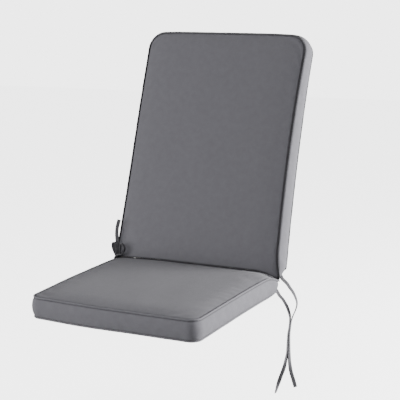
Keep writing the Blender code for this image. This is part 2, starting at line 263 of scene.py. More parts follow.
ALONG = np.array([0.0, -THROUGH[2], THROUGH[1]])
SEAT = PadFrame("seat", [(1, 0, 0), (0, -1, 0), (0, 0, -1)], SEAT_CORNER, ("top", "bottom"),
                stretch=0.0030, foot_flare=(0.007, 0.0), end_flare=(0.0, 0.0), splay=0.0,
                slide=0.0, end_rise=0.0, end_fall=0.001, corner_in=0.007, corner_back=0.010,
                sag=0.0020, sunk=0.0, corner_reach=0.028, pinch=0.010, tuck=0.002, swell=0.010)
BACK = PadFrame("back", [(-1, 0, 0), ALONG, THROUGH], BACK_CORNER, ("front", "rear"),
                stretch=0.0045, foot_flare=(0.006, 0.008), end_flare=(0.009, -0.002),
                splay=0.007, slide=0.005, end_rise=0.003, end_fall=0.008, corner_in=0.0,
                corner_back=0.0, sag=0.0, sunk=0.003, corner_reach=0.030, pinch=0.008,
                tuck=0.018, swell=0.004)
PADS = (SEAT, BACK)


# Property groups

def number_property(name, description, default, **kind):
    return bpy.props.FloatProperty(name=name, description=description, default=default, **kind)


def length_property(name, description, default):
    return number_property(name, description, default, subtype="DISTANCE", unit="LENGTH")


def angle_property(name, description, degrees):
    return number_property(name, description, math.radians(degrees), subtype="ANGLE",
                           unit="ROTATION")


def power_property(name, description, default):
    return number_property(name, description, default, subtype="POWER", unit="POWER")


def colour_property(name, description, default):
    return bpy.props.FloatVectorProperty(name=name, description=description, default=default,
                                         subtype="COLOR", min=0.0, max=1.0)


class ChairPadCovers(bpy.types.PropertyGroup):
    crown: length_property("Crown", "Rise of a pad's face above its piping", 0.0045)
    rear_crown: length_property("Rear crown", "Rise of the face that rests on the chair", 0.0025)
    bulge: length_property("Bulge", "How far the boxing stands out halfway up", 0.0055)
    cell: length_property("Cell", "Spacing of the cover's mesh", 0.0080)
    cap: length_property("Largest puff", "Most that the simulation may move a point", 0.0040)
    pressure: number_property("Pressure", "Pressure of the filling in the cloth simulation", 4.0)


class ChairPadTies(bpy.types.PropertyGroup):
    width: length_property("Width", "Width of the folded tape", 0.0110)
    thickness: length_property("Thickness", "Thickness of the folded tape", 0.0018)
    hem: length_property("Hem", "Length of the doubled hem at the free end", 0.0120)


class ChairPadColours(bpy.types.PropertyGroup):
    cloth: colour_property("Cloth", "Cover cloth", (0.148, 0.145, 0.161))
    # Painted shade: the back pad's piping is the same cloth as the cover, given a near-black colour as if it lay
    # in shadow.
    back_piping: colour_property("Back piping", "Piping of the back pad", (0.030, 0.029, 0.033))
    tie: colour_property("Tie", "Tie tape", (0.105, 0.103, 0.112))
    foam: colour_property("Foam", "Filling", (0.80, 0.76, 0.62))
    cord: colour_property("Piping cord", "Filler cord inside the piping", (0.75, 0.74, 0.70))
    tape: colour_property("Zip tape", "Woven zip tape", (0.10, 0.10, 0.11))
    metal: colour_property("Slider", "Lacquered zip slider", (0.22, 0.22, 0.23))


class ChairPadCamera(bpy.types.PropertyGroup):
    azimuth: angle_property("Azimuth", "How far round to the right the camera stands", 26.9)
    elevation: angle_property("Elevation", "How far above level the camera stands", 11.3)
    roll: angle_property("Roll", "Tilt of the camera about its own line of sight", -0.74)
    distance: length_property("Distance", "From the camera to the point that it looks at", 3.18)
    lens: number_property("Lens", "Focal length in millimetres on a 36 mm sensor", 100.4)
    aim: bpy.props.FloatVectorProperty(
        name="Aim", description="The point looked at, from the middle of the fold line",
        default=(0.0226, 0.0, 0.1911), subtype="TRANSLATION", unit="LENGTH")


class ChairPadStudio(bpy.types.PropertyGroup):
    floor: length_property("Floor", "Height of the floor", -0.330)
    key: power_property("Key light", "Power of the light on the right", 240.0)
    top: power_property("Top light", "Power of the light overhead", 9.0)
    left: power_property("Left light", "Power of the light in front on the left", 108.0)
    fill: number_property("Fill", "Strength of the even light all round", 0.27)
    backdrop: number_property("Backdrop", "Brightness of the backdrop as it is seen", 4.0)


# Meshes

def new_piece(name, points, faces, mat, uv):
    """A piece at the origin from world points and quads, with one UV pair for each quad corner."""
    mesh = bpy.data.meshes.new(name)
    mesh.from_pydata(points.reshape(-1, 3).tolist(), [], faces.reshape(-1, 4).tolist())
    mesh.uv_layers.new(name="UVMap").data.foreach_set("uv", uv.astype(np.float32).ravel())
    mesh.shade_smooth()
    mesh.materials.append(mat)
    obj = bpy.data.objects.new(name, mesh)
    bpy.context.scene.collection.objects.link(obj)
    return obj


def merge_and_turn_out(obj):
    """Joins the points that fall together, and turns a closed shell's faces outwards."""
    bm = bmesh.new()
    bm.from_mesh(obj.data)
    bmesh.ops.remove_doubles(bm, verts=bm.verts, dist=0.000005)
    bmesh.ops.recalc_face_normals(bm, faces=bm.faces)
    bm.to_mesh(obj.data)
    bm.free()
    obj.data.shade_smooth()


def corners(grid, axis):
    """The four corners of each cell of a grid, in order round the cell, stacked on an axis."""
    return np.stack([grid[:-1, :-1], grid[:-1, 1:], grid[1:, 1:], grid[1:, :-1]], axis)


def quads(grid, wrap):
    """Quads between neighbouring rows of a grid of point numbers, wrapping round each row."""
    if wrap:
        grid = np.concatenate([grid, grid[:, :1]], axis=1)
    return corners(grid, -1)


def travelled(path):
    """The distance along a path, at each of its points."""
    step = np.linalg.norm(np.diff(path, axis=0), axis=1)
    return np.concatenate([[0.0], np.cumsum(step)])


def sweep(name, path, across, section, mat, closed=False):
    """A section carried along a path: each point is the path's point, plus the section's first
    number along the width direction, plus its second along the tangent cross that direction."""
    if closed:
        tangent = np.roll(path, -1, axis=0) - np.roll(path, 1, axis=0)
    else:
        tangent = np.gradient(path, axis=0)
    tangent /= np.linalg.norm(tangent, axis=1, keepdims=True)
    across = across - (across * tangent).sum(axis=1, keepdims=True) * tangent
    across /= np.linalg.norm(across, axis=1, keepdims=True)
    depth = np.cross(tangent, across)
    section = np.broadcast_to(section, (len(path),) + section.shape[-2:])
    points = (path[:, None] + section[..., :1] * across[:, None]
              + section[..., 1:] * depth[:, None])
    numbers = np.arange(len(path) * section.shape[1]).reshape(len(path), -1)
    run = travelled(path)
    if closed:
        numbers = np.concatenate([numbers, numbers[:1]])
        run = np.append(run, run[-1] + np.linalg.norm(path[0] - path[-1]))
        section = np.concatenate([section, section[:1]])
    ring = np.concatenate([section, section[:, :1]], axis=1)
    step = np.linalg.norm(np.diff(ring, axis=1), axis=2)
    girth = np.concatenate([np.zeros((len(ring), 1)), np.cumsum(step, axis=1)], axis=1)
    place = np.stack([girth, np.broadcast_to(run[:, None], girth.shape)], -1)
    obj = new_piece(name, points, quads(numbers, True), mat, corners(place, -2))
    merge_and_turn_out(obj)
    return obj


def ring_section(radius, count, squash=1.0):
    """A circle of points, the second number scaled by squash."""
    angle = np.arange(count) * TAU / count
    return radius * np.stack([np.cos(angle), squash * np.sin(angle)], -1)


def tape_section(width, thickness):
    """A flat tape's section: rounded edges, and a shallow sewn groove inside each edge."""
    half_a = [1, 0.965, 0.89, 0.76, 0.64, 0.22, -0.22, -0.64, -0.76, -0.89, -0.965]
    half_b = [0, 0.75, 1, 0.78, 1, 0.96, 0.96, 1, 0.78, 1, 0.75]
    a = np.array(half_a + [-value for value in half_a])
    b = np.array(half_b + [-value for value in half_b])
    return np.stack([a * width / 2, b * thickness / 2], -1)


def shut_ends(section):
    """The section with its first and last copies pressed flat, which closes the tape's ends."""
    section = section.copy()
    section[[0, -1], :, 1] = 0.0
    return section


def even_path(points, spacing):
    """Points at even spacing on the Catmull-Rom curve through the points."""
    guides = np.concatenate([[2 * points[0] - points[1]], points, [2 * points[-1] - points[-2]]])
    t = (np.arange(16) / 16)[None, :, None]
    a, b, c, d = (guides[k:len(guides) - 3 + k, None] for k in range(4))
    curve = 0.5 * (2 * b + (c - a) * t + (2 * a - 5 * b + 4 * c - d) * t ** 2
                   + (3 * b - a - 3 * c + d) * t ** 3)
    curve = np.concatenate([curve.reshape(-1, 3), points[-1:]])
    run = travelled(curve)
    wanted = np.linspace(0, run[-1], max(3, round(run[-1] / spacing) + 1))
    return np.stack([np.interp(wanted, run, curve[:, k]) for k in range(3)], -1)


# Covers

def pad_arrays(pad, covers, shrink=0.0):
    """Points, quads and UVs of a closed pad. Each face is a rectangular grid inside rows that
    follow the rounded seam. Its height falls into the seam by an exponential of the distance in,
    then rises by another to the crown, sooner near the seat's fold. The boxing leaves each seam by
    the same kind of curve and bulges with the sine of its height, and at the fold end it sits
    back behind the zip."""
    reach = 0.050
    inner_half = HALF - SEAM_INSET - reach
    low, high = FOLD_GAP + SEAM_INSET + reach, pad.length - SEAM_INSET - reach
    turn = 3
    straight = [round(2 * inner_half / covers.cell) - 2 * turn,
                round((high - low) / covers.cell) - 2 * turn]
    across, along = (cells + 2 * turn for cells in straight)
    edge, normal, run = pad.rim(SEAM_INSET, straight, turn)
    count = len(edge)
    grid = np.stack(np.meshgrid(np.linspace(-inner_half, inner_half, across + 1),
                                np.linspace(low, high, along + 1), indexing="ij"), -1)
    numbers = np.arange(grid[..., 0].size).reshape(across + 1, along + 1)

    def border(table):
        return np.concatenate([table[:-1, 0], table[-1, :-1], table[:0:-1, -1], table[0, :0:-1]])

    share = np.array([0, .024, .052, .09, .15, .24, .36, .5, .66, .83])[:, None, None]
    rows = edge + share * (border(grid) - edge)
    flat = np.concatenate([rows.reshape(-1, 2), grid.reshape(-1, 2)])
    x, v = flat[:, 0], flat[:, 1]
    inside = np.maximum(pad.depth_in(x, v) - SEAM_INSET, 0)
    row_numbers = np.arange(rows[..., 0].size).reshape(len(rows), count)
    stack = np.concatenate([row_numbers, [border(numbers) + row_numbers.size]])
    face = np.concatenate([quads(stack, True).reshape(-1, 4),
                           quads(numbers.T + row_numbers.size, False).reshape(-1, 4)])
    faces, uvs, points, seams = [], [], [], []
    for outer, crown in ((0, covers.crown), (1, covers.rear_crown)):
        puckers = 0.0004 * waves(x, v, 0.018, 11 + outer) * np.exp(-inside / 0.012)
        soft = 0.0007 * waves(x, v, 0.14, 21 + outer) * (1 - np.exp(-inside / 0.03))
        climb = 1 - np.exp(-inside / 0.0016)
        ease = 0.045 if outer or pad is BACK else 0.045 - 0.034 * np.exp(-v / 0.07)
        w = SEAM_DEPTH - 0.0036 * climb - crown * (1 - np.exp(-inside / ease)) + puckers * climb
        w = w + soft + shrink * climb
        if outer:
            w = THICKNESS - w
        points.append(pad.settled(x, v, w))
        turned = face if outer else face[:, ::-1]
        faces.append(turned + outer * len(flat))
        uvs.append(flat[turned])
        seams.append(inside)
    span = THICKNESS - 2 * SEAM_DEPTH
    level = np.array([0, .0012, .0026, .0045, .0075, .012, .018, span / 2])
    level = np.concatenate([level, span - level[-2::-1]])
    from_seam = np.minimum(level, span - level)
    leave = (1 - np.exp(-from_seam / 0.0016))[:, None]
    open_side = smooth((edge[:, 1] - 0.006) / 0.022)
    fold_side = -0.0024 * leave
    puckers = 0.0003 * waves(np.broadcast_to(run[:-1], (len(level), count)),
                             np.broadcast_to(level[:, None], (len(level), count)), 0.022, 31)
    sides = (leave * (SEAM_INSET - 0.0006 - shrink + puckers)
             + (covers.bulge * np.sin(np.pi * level / span))[:, None])
    out = fold_side * (1 - open_side) + sides * open_side - shrink * (1 - open_side) * leave
    place = edge + out[..., None] * normal
    boxed = pad.settled(place[..., 0], place[..., 1], (SEAM_DEPTH + level)[:, None])
    points.append(boxed[1:-1].reshape(-1, 3))
    seams.append(np.repeat(from_seam[1:-1], count))
    middle = np.arange((len(level) - 2) * count).reshape(-1, count) + 2 * len(flat)
    wall = np.concatenate([row_numbers[:1], middle, row_numbers[:1] + len(flat)])
    faces.append(quads(wall, True).reshape(-1, 4))
    uvs.append(corners(np.stack(np.meshgrid(run, level), -1), -2).reshape(-1, 4, 2))
    return (np.concatenate(points), np.concatenate(faces), np.concatenate(uvs),
            np.concatenate(seams))


def puff(obj, held, pressure, cap):
    """Cloth simulation from inside pressure, with the seams held. A point's movement d becomes
    cap times the hyperbolic tangent of d over cap."""
    group = obj.vertex_groups.new(name="seams")
    group.add(np.flatnonzero(held).tolist(), 1.0, "REPLACE")
    modifier = obj.modifiers.new("Cloth", "CLOTH")
    settings = modifier.settings
    settings.quality = 4
    settings.mass = 0.2
    settings.tension_stiffness = settings.compression_stiffness = 22.0
    settings.shear_stiffness = 8.0
    settings.bending_stiffness = 0.6
    settings.use_pressure = True
    settings.uniform_pressure_force = pressure
    settings.vertex_group_mass = group.name
    settings.shrink_min = -0.006
    settings.effector_weights.gravity = 0.0
    modifier.point_cache.frame_start = 1
    modifier.point_cache.frame_end = LAST_FRAME
    scene = bpy.context.scene
    for step in range(1, LAST_FRAME + 1):
        scene.frame_set(step)
    evaluated = obj.evaluated_get(bpy.context.evaluated_depsgraph_get())
    moved = np.zeros(len(obj.data.vertices) * 3, np.float32)
    evaluated.data.vertices.foreach_get("co", moved)
    start = np.zeros_like(moved)
    obj.data.vertices.foreach_get("co", start)
    move = (moved - start).reshape(-1, 3)
    size = np.maximum(np.linalg.norm(move, axis=1, keepdims=True), 1e-9)
    final = start.reshape(-1, 3) + move * (cap * np.tanh(size / cap) / size)
    obj.modifiers.remove(modifier)
    obj.vertex_groups.remove(group)
    scene.frame_set(1)
    obj.data.vertices.foreach_set("co", final.astype(np.float32).ravel())
    obj.data.update()


def make_cover(pad):
    """A pad's two panels and its boxing, puffed, with the distance to the seams as an attribute."""
    covers = bpy.context.scene.chair_pad_covers
    points, faces, uv, seam = pad_arrays(pad, covers)
    obj = new_piece(f"{pad.body}_cover", points, faces, materials()["cover_cloth"], uv)
    mark = obj.data.attributes.new("seam_distance", "FLOAT", "POINT")
    mark.data.foreach_set("value", seam.astype(np.float32))
    puff(obj, seam < SEAM_HOLD, covers.pressure, covers.cap)
    finish = obj.modifiers.new("Subdivision", "SUBSURF")
    finish.levels = finish.render_levels = 1
    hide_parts(*[f"{pad.body}_{label}_panel" for label in pad.labels], f"{pad.body}_boxing")
    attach(obj, pad.body)


def make_foam(pad):
    """The filling: the cover's own shape, a little smaller all round."""
    points, faces, uv, _ = pad_arrays(pad, bpy.context.scene.chair_pad_covers, FOAM_SHRINK)
    obj = new_piece(f"{pad.body}_foam", points, faces, materials()["foam"], uv)
    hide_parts(f"{pad.body}_foam_core")
    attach(obj, pad.body)


def make_piping(pad):
    """Both rims of a pad: a round sleeve on the outline, swelling and narrowing by a few
    hundredths along its length, with a thinner filler cord on the same line."""
    straight = [110, round(pad.length / 0.0045)]
    edge, normal, run = pad.rim(PIPING_RADIUS, straight, 7)
    for label, w in zip(pad.labels, (PIPING_DEPTH, THICKNESS - PIPING_DEPTH)):
        seed = 41 + len(label)
        sway = 0.0003 * ripple(run[:-1], 0.05, seed)
        place = edge + sway[:, None] * normal
        path = pad.settled(place[:, 0], place[:, 1], np.full(len(edge), w))
        outward = pad.settled(edge[:, 0] + 0.001 * normal[:, 0],
                              edge[:, 1] + 0.001 * normal[:, 1], np.full(len(edge), w)) - path
        swell = 1 + 0.05 * ripple(run[:-1], 0.012, seed + 1)
        for suffix, radius, key in (("", PIPING_RADIUS, "cover_cloth"),
                                    ("_cord", PIPING_CORD_RADIUS, "piping_cord")):
            section = ring_section(radius, 14 if not suffix else 8) * swell[:, None, None]
            name = f"{pad.body}_{label}_piping{suffix}"
            obj = sweep(name + "_line", path, outward, section, materials()[key], closed=True)
            # On the back pad this material paints shade into the piping's colour.
            if key == "cover_cloth":
                obj.data.materials[0] = materials()[f"{pad.body}_piping_cloth"]
            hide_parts(name)
            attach(obj, pad.body)


# Ties

def tie_points(pad, side, route):
    """A tie's guide points: two at its root, off the pad's corner seam, and then its route."""
    lean = math.radians(TIE_ROOT_ANGLE)
    points = []
    for reach in (TIE_ROOT_REACH, TIE_ROOT_REACH + TIE_ROOT_RUN):
        point = pad.world(0.0, FOLD_GAP + FOLD_CORNER - reach * math.sin(lean), TIE_ROOT_DEPTH)
        point[0] = side * (HALF - FOLD_CORNER + reach * math.cos(lean))
        points.append(point)
    for out, back, up in route:
        points.append(FOLD + np.array([side * HALF + side * out / 1000, back / 1000, up / 1000]))
    return np.array(points)


def make_tie(name, pad, side, route, turns):
    """A flat tape along the route. Its width direction turns about the vertical through the
    angles in turns. It is narrow and thick where it is gathered at the root, and two fifths
    thicker at the hem."""
    ties = bpy.context.scene.chair_pad_ties
    path = even_path(tie_points(pad, side, route), 0.0025)
    run = travelled(path)
    share, degrees = np.array(turns, float).T
    angle = np.radians(np.interp(run / run[-1], share, degrees))
    across = np.stack([np.cos(angle), np.sin(angle), 0 * angle], -1)
    wide = 0.62 + 0.38 * smooth(run / 0.016)
    wide = wide * (1 + 0.03 * ripple(run, 0.03, len(name)))
    hem = smooth((run - run[-1] + ties.hem) / 0.0012)
    thick = 1 + 0.4 * hem + 0.6 * (1 - smooth(run / 0.012))
    section = tape_section(ties.width, ties.thickness)[None] * np.stack([wide, thick], -1)[:, None]
    obj = sweep(name + "_tape", path, across, shut_ends(section), materials()["tie_cloth"])
    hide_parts(name)
    return obj, path, float(run[-1])


def make_knot():
    """The knot: a tape wound twice round the crossing on a tight oval that climbs as it turns."""
    turn = np.linspace(0, 2 * TAU, 61)
    climb = 0.0005 + 0.0040 * turn / (2 * TAU) + 0.0010 * np.sin(turn)
    path = KNOT + np.stack([0.0026 * np.cos(turn), 0.0030 * np.sin(turn), climb], -1)
    across = np.stack([0.15 * np.cos(turn), 0.15 * np.sin(turn), np.ones_like(turn)], -1)
    section = tape_section(*KNOT_TAPE)[None].repeat(len(turn), axis=0)
    obj = sweep("left_bow_knot", path, across, shut_ends(section), materials()["tie_cloth"])
    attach(obj, "seat")
    return obj


# Zips and the sewn strip at the fold

def flat_strip(name, pad, half, v, w, width, thickness, mat):
    """A straight flat tape across the pad's fold end, in the plane of its wall."""
    x = np.linspace(-half, half, round(2 * half / 0.005) + 1)
    sway = 0.00015 * ripple(x, 0.03, 7)
    path = pad.world(x, v + sway, w)
    across = np.broadcast_to(pad.axes[2], path.shape)
    section = tape_section(width, thickness)[None].repeat(len(x), axis=0)
    return sweep(name, path, across, shut_ends(section), mat)


def make_teeth(pad, half, mat):
    """Closed coil: two rows of small bars half a pitch apart, each an oval section bent over
    the middle line, repeated across the fold end."""
    pitch = 0.0015
    count = int(2 * half / pitch)
    bend = np.linspace(-1, 1, 5)
    ring = ring_section(0.00036, 6)
    spine_w = 0.0021 * bend
    spine_v = -0.0009 * (1 - bend ** 2)
    bar = np.stack([np.broadcast_to(ring[:, 0], (5, 6)),
                    spine_v[:, None] + ring[:, 1] * np.ones((5, 1)),
                    np.broadcast_to(spine_w[:, None], (5, 6))], -1)
    bar[[0, -1], :, 0] = 0.0
    step = np.arange(2 * count)
    x = (step - count + 0.5) * pitch / 2
    shift = np.where(step % 2 == 0, 0.00045, -0.00045)
    points = bar[None].repeat(2 * count, axis=0)
    points[..., 0] += x[:, None, None]
    points[..., 2] += shift[:, None, None]
    place = pad.world(points[..., 0], FOLD_GAP + ZIP_INSET + points[..., 1],
                      THICKNESS / 2 + points[..., 2])
    numbers = np.arange(points[..., 0].size).reshape(2 * count, 5, 6)
    wrapped = np.concatenate([numbers, numbers[:, :, :1]], axis=2)
    faces = np.stack([wrapped[:, :-1, :-1], wrapped[:, :-1, 1:], wrapped[:, 1:, 1:],
                      wrapped[:, 1:, :-1]], -1)
    uv = np.zeros((faces.size // 4, 4, 2))
    obj = new_piece(f"{pad.body}_zip_coil", place, faces, mat, uv)
    merge_and_turn_out(obj)
    return obj


def make_zip(pad):
    """A pad's zip between its two facings, and the finish of its slider."""
    mats = materials()
    low = 2 * PIPING_RADIUS + 3 * FOLD_GAP
    mid = THICKNESS / 2
    wall = FOLD_GAP + ZIP_INSET + 0.0005
    for label, w0, w1 in (("inner", low, mid - ZIP_TAPE_HALF - FOLD_GAP),
                          ("outer", mid + ZIP_TAPE_HALF + FOLD_GAP, THICKNESS - low)):
        obj = flat_strip(f"{pad.body}_{label}_facing_cloth", pad, HALF - 0.006, wall, (w0 + w1) / 2,
                         w1 - w0, FACING_THICKNESS, mats["facing_cloth"])
        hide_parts(f"{pad.body}_{label}_zip_facing")
        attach(obj, pad.body)
    half = HALF - 0.011
    tape = flat_strip(f"{pad.body}_zip_tape", pad, half, wall, mid, 2 * ZIP_TAPE_HALF,
                      ZIP_TAPE_THICKNESS, mats["zip_tape"])
    coil = make_teeth(pad, half - 0.002, mats["zip_coil"])
    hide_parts(f"{pad.body}_zip")
    for obj in (tape, coil):
        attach(obj, pad.body)
    slider = frame["nodes"][f"{pad.body}_zip_slider"]
    slider.data.materials.clear()
    slider.data.materials.append(mats["slider_metal"])
    bevel = slider.modifiers.new("Bevel", "BEVEL")
    bevel.width = 0.0003
    bevel.segments = 2
    bevel.limit_method = "ANGLE"


def make_fold_strip():
    """The sewn strip: a thin band whose profile leaves the seat's seam, passes under its piping,
    turns over the fold line and goes back under the back pad's piping to its seam."""
    count = 95
    x = np.linspace(-HALF + 0.013, HALF - 0.013, count)
    profile = [(0.0040, 0.0058), (0.0020, 0.0062), (0.0004, 0.0052), (-0.0003, 0.0032)]
    rows = [SEAT.settled(x, np.full(count, v), np.full(count, w)) for v, w in profile]
    other = [BACK.settled(-x, np.full(count, v), np.full(count, w)) for v, w in profile[::-1]]
    crease = (rows[-1] + other[0]) / 2 + np.array([0.0, -0.0004, 0.0018])
    points = np.stack(rows + [crease] + other)
    points[..., 2] += 0.0002 * ripple(x, 0.02, 3)
    numbers = np.arange(points[..., 0].size).reshape(-1, count)
    run = travelled(points[:, 0])
    uv = corners(np.stack(np.meshgrid(x, run), -1), -2)
    obj = new_piece("fold_strip_cloth", points, quads(numbers, False), materials()["facing_cloth"],
                    uv)
    thick = obj.modifiers.new("Solidify", "SOLIDIFY")
    thick.thickness = 0.0006
    thick.offset = 0.0
    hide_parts("fold_seam_strip")
    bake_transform(obj)


# Materials

def put(tree, kind, inputs=(), **settings):
    """Adds a node, with its settings, and its inputs as values or as sockets to link from."""
    node = tree.nodes.new(kind)
    for key, value in settings.items():
        setattr(node, key, value)
    for key, value in dict(inputs).items():
        if isinstance(value, bpy.types.NodeSocket):
            tree.links.new(value, node.inputs[key])
        else:
            node.inputs[key].default_value = value
    return node


def new_group(name, inputs, outputs):
    """An empty node group with named float or vector inputs and float outputs."""
    group = bpy.data.node_groups.new(name, "ShaderNodeTree")
    for label, kind in inputs:
        group.interface.new_socket(label, in_out="INPUT", socket_type=kind)
    for label in outputs:
        group.interface.new_socket(label, in_out="OUTPUT", socket_type="NodeSocketFloat")
    return group, put(group, "NodeGroupInput").outputs, put(group, "NodeGroupOutput")


def math_node(tree, operation, first, second=0.0):
    return put(tree, "ShaderNodeMath", {0: first, 1: second}, operation=operation).outputs[0]


def blend_values(tree, factor, first, second):
    return put(tree, "ShaderNodeMix", {0: factor, 2: first, 3: second}).outputs[0]


def blend_colours(tree, factor, first, second):
    return put(tree, "ShaderNodeMix", {0: factor, 6: first, 7: second},
               data_type="RGBA").outputs[2]


def rescale(tree, value, low=0.0, high=1.0, to_low=0.0, to_high=1.0):
    """The run from low to high, stretched onto the run from to_low to to_high."""
    return put(tree, "ShaderNodeMapRange",
               {0: value, 1: low, 2: high, 3: to_low, 4: to_high}).outputs[0]


def weave_group():
    """Plain weave. Warp and weft heights are the sine of the place across each thread, and a
    checker picks which one is on top. Mottle is slow noise with threads of uneven shade on it."""
    group, given, out = new_group("plain_weave", [("Surface", "NodeSocketVector"),
                                                  ("Thread", "NodeSocketFloat")],
                                  ("Height", "Mottle"))
    per_thread = math_node(group, "DIVIDE", 1.0, given["Thread"])
    scaled = put(group, "ShaderNodeVectorMath", {"Vector": given["Surface"], "Scale": per_thread},
                 operation="SCALE").outputs[0]
    split = put(group, "ShaderNodeSeparateXYZ", {0: scaled}).outputs
    ridges = []
    for axis in (0, 1):
        turn = math_node(group, "MULTIPLY", split[axis], math.pi)
        ridges.append(math_node(group, "ABSOLUTE", math_node(group, "SINE", turn)))
    flat = put(group, "ShaderNodeCombineXYZ", {0: split[0], 1: split[1], 2: 0.5}).outputs[0]
    over = put(group, "ShaderNodeTexChecker", {"Vector": flat, "Scale": 1.0}).outputs["Fac"]
    height = blend_values(group, over, ridges[0], ridges[1])
    cloud = put(group, "ShaderNodeTexNoise", {"Vector": given["Surface"], "Scale": 55.0,
                                              "Detail": 4.0, "Roughness": 0.6}).outputs[0]
    threads = []
    for scale in ((60.0, 1500.0, 1.0), (1500.0, 60.0, 1.0)):
        long = put(group, "ShaderNodeMapping", {"Vector": given["Surface"], "Scale": scale})
        threads.append(put(group, "ShaderNodeTexNoise", {"Vector": long.outputs[0], "Scale": 1.0,
                                                         "Detail": 2.0}).outputs[0])
    uneven = blend_values(group, 0.5, threads[0], threads[1])
    mottle = blend_values(group, 0.55, cloud, uneven)
    group.links.new(height, out.inputs["Height"])
    group.links.new(mottle, out.inputs["Mottle"])
    return group


def stitch_group():
    """Two rows of sewing thread, inside the edges of a tape. The place across is counted from
    the tape's edge, and a stitch covers two thirds of its pitch along the tape."""
    group, given, out = new_group("edge_stitches", [("Surface", "NodeSocketVector"),
                                                    ("Row", "NodeSocketFloat"),
                                                    ("Width", "NodeSocketFloat"),
                                                    ("Pitch", "NodeSocketFloat")], ("Mask",))
    split = put(group, "ShaderNodeSeparateXYZ", {0: given["Surface"]}).outputs
    folded = math_node(group, "PINGPONG", split[0], math_node(group, "MULTIPLY", given["Width"], 0.5))
    away = math_node(group, "ABSOLUTE", math_node(group, "SUBTRACT", folded, given["Row"]))
    near = math_node(group, "LESS_THAN", away, 0.00035)
    step = math_node(group, "FRACT", math_node(group, "DIVIDE", split[1], given["Pitch"]))
    on = math_node(group, "LESS_THAN", step, 0.66)
    group.links.new(math_node(group, "MULTIPLY", near, on), out.inputs["Mask"])
    return group


def shared_group(name, build):
    return bpy.data.node_groups.get(name) or build()


def shade(colour, factor):
    return (*(min(1.0, value * factor) for value in colour), 1.0)


def plain_material(name, roughness, **constants):
    mat = bpy.data.materials.new(name)
    mat.use_nodes = True
    bsdf = mat.node_tree.nodes["Principled BSDF"]
    bsdf.inputs["Roughness"].default_value = roughness
    sockets = {socket.name.lower().replace(" ", "_"): socket for socket in bsdf.inputs}
    for key, value in constants.items():
        sockets[key].default_value = value
    return mat, mat.node_tree, bsdf


def cloth_material(name, colour, thread=0.0006, seam_shade=False, stitches=None,
                   wrinkle=0.0004, painted_top_light=None):
    """Woven cloth: two shades mixed by the weave's mottle, a rough dull surface, the weave as a
    fine bump over broad soft creases, painted shade darkening it in the seam ditches, with rows of stitches on a
    tape, and painted light lightening it towards another colour at the top, where the overhead light falls."""
    mat, tree, bsdf = plain_material(name, 0.9, sheen_weight=0.12, sheen_roughness=0.6,
                                     specular_ior_level=0.25)
    surface = put(tree, "ShaderNodeUVMap", uv_map="UVMap").outputs[0]
    weave = put(tree, "ShaderNodeGroup", {"Surface": surface, "Thread": thread},
                node_tree=shared_group("plain_weave", weave_group))
    spread = rescale(tree, weave.outputs["Mottle"], 0.3, 0.7)
    tone = blend_colours(tree, spread, shade(colour, 0.90), shade(colour, 1.10))
    # Painted shade: within 4 mm of a seam the cloth is darkened to a third of its colour, as the seam ditch lies
    # in shade.
    if seam_shade:
        inside = put(tree, "ShaderNodeAttribute", attribute_name="seam_distance").outputs["Fac"]
        painted_seam_shade = rescale(tree, inside, 0.0, 0.004, 1.0, 0.0)
        tone = blend_colours(tree, painted_seam_shade, tone, shade(colour, 0.34))
    dull = rescale(tree, weave.outputs["Mottle"], to_low=0.84, to_high=0.97)
    place = put(tree, "ShaderNodeTexCoord").outputs["Object"]
    # Painted light: from 0.655 m to 0.690 m up, the colour is blended towards a lighter one, as where the top edge
    # catches the overhead light.
    if painted_top_light:
        height = put(tree, "ShaderNodeSeparateXYZ", {0: place}).outputs[2]
        tone = blend_colours(tree, rescale(tree, height, 0.655, 0.690), tone, shade(painted_top_light, 1.0))
    broad = put(tree, "ShaderNodeTexNoise", {"Vector": place, "Scale": 26.0, "Detail": 3.0}).outputs[0]
    normal = put(tree, "ShaderNodeBump", {"Strength": 0.5, "Distance": wrinkle, "Height": broad})
    normal = put(tree, "ShaderNodeBump", {"Strength": 0.35, "Distance": 0.00018,
                                          "Height": weave.outputs["Height"],
                                          "Normal": normal.outputs[0]})
    if stitches:
        row, width, pitch = stitches
        sewn = put(tree, "ShaderNodeGroup",
                   {"Surface": surface, "Row": row, "Width": width, "Pitch": pitch},
                   node_tree=shared_group("edge_stitches", stitch_group))
        tone = blend_colours(tree, sewn.outputs[0], tone, shade(colour, 1.15))
        normal = put(tree, "ShaderNodeBump", {"Strength": 0.6, "Distance": 0.0003,
                                              "Height": sewn.outputs[0],
                                              "Normal": normal.outputs[0]})
    tree.links.new(tone, bsdf.inputs["Base Color"])
    tree.links.new(dull, bsdf.inputs["Roughness"])
    tree.links.new(normal.outputs[0], bsdf.inputs["Normal"])
    return mat


def noise_material(name, colour, scale, distance, roughness, spread=0.12, **constants):
    """A surface of one stuff: two shades and a bump from noise."""
    mat, tree, bsdf = plain_material(name, roughness, **constants)
    place = put(tree, "ShaderNodeTexCoord").outputs["Object"]
    field = put(tree, "ShaderNodeTexNoise", {"Vector": place, "Scale": scale,
                                             "Detail": 4.0}).outputs[0]
    tone = blend_colours(tree, field, shade(colour, 1 - spread), shade(colour, 1 + spread))
    dull = rescale(tree, field, to_low=roughness - 0.06, to_high=roughness + 0.04)
    bump = put(tree, "ShaderNodeBump", {"Strength": 0.5, "Distance": distance, "Height": field})
    tree.links.new(tone, bsdf.inputs["Base Color"])
    tree.links.new(dull, bsdf.inputs["Roughness"])
    tree.links.new(bump.outputs[0], bsdf.inputs["Normal"])
    return mat


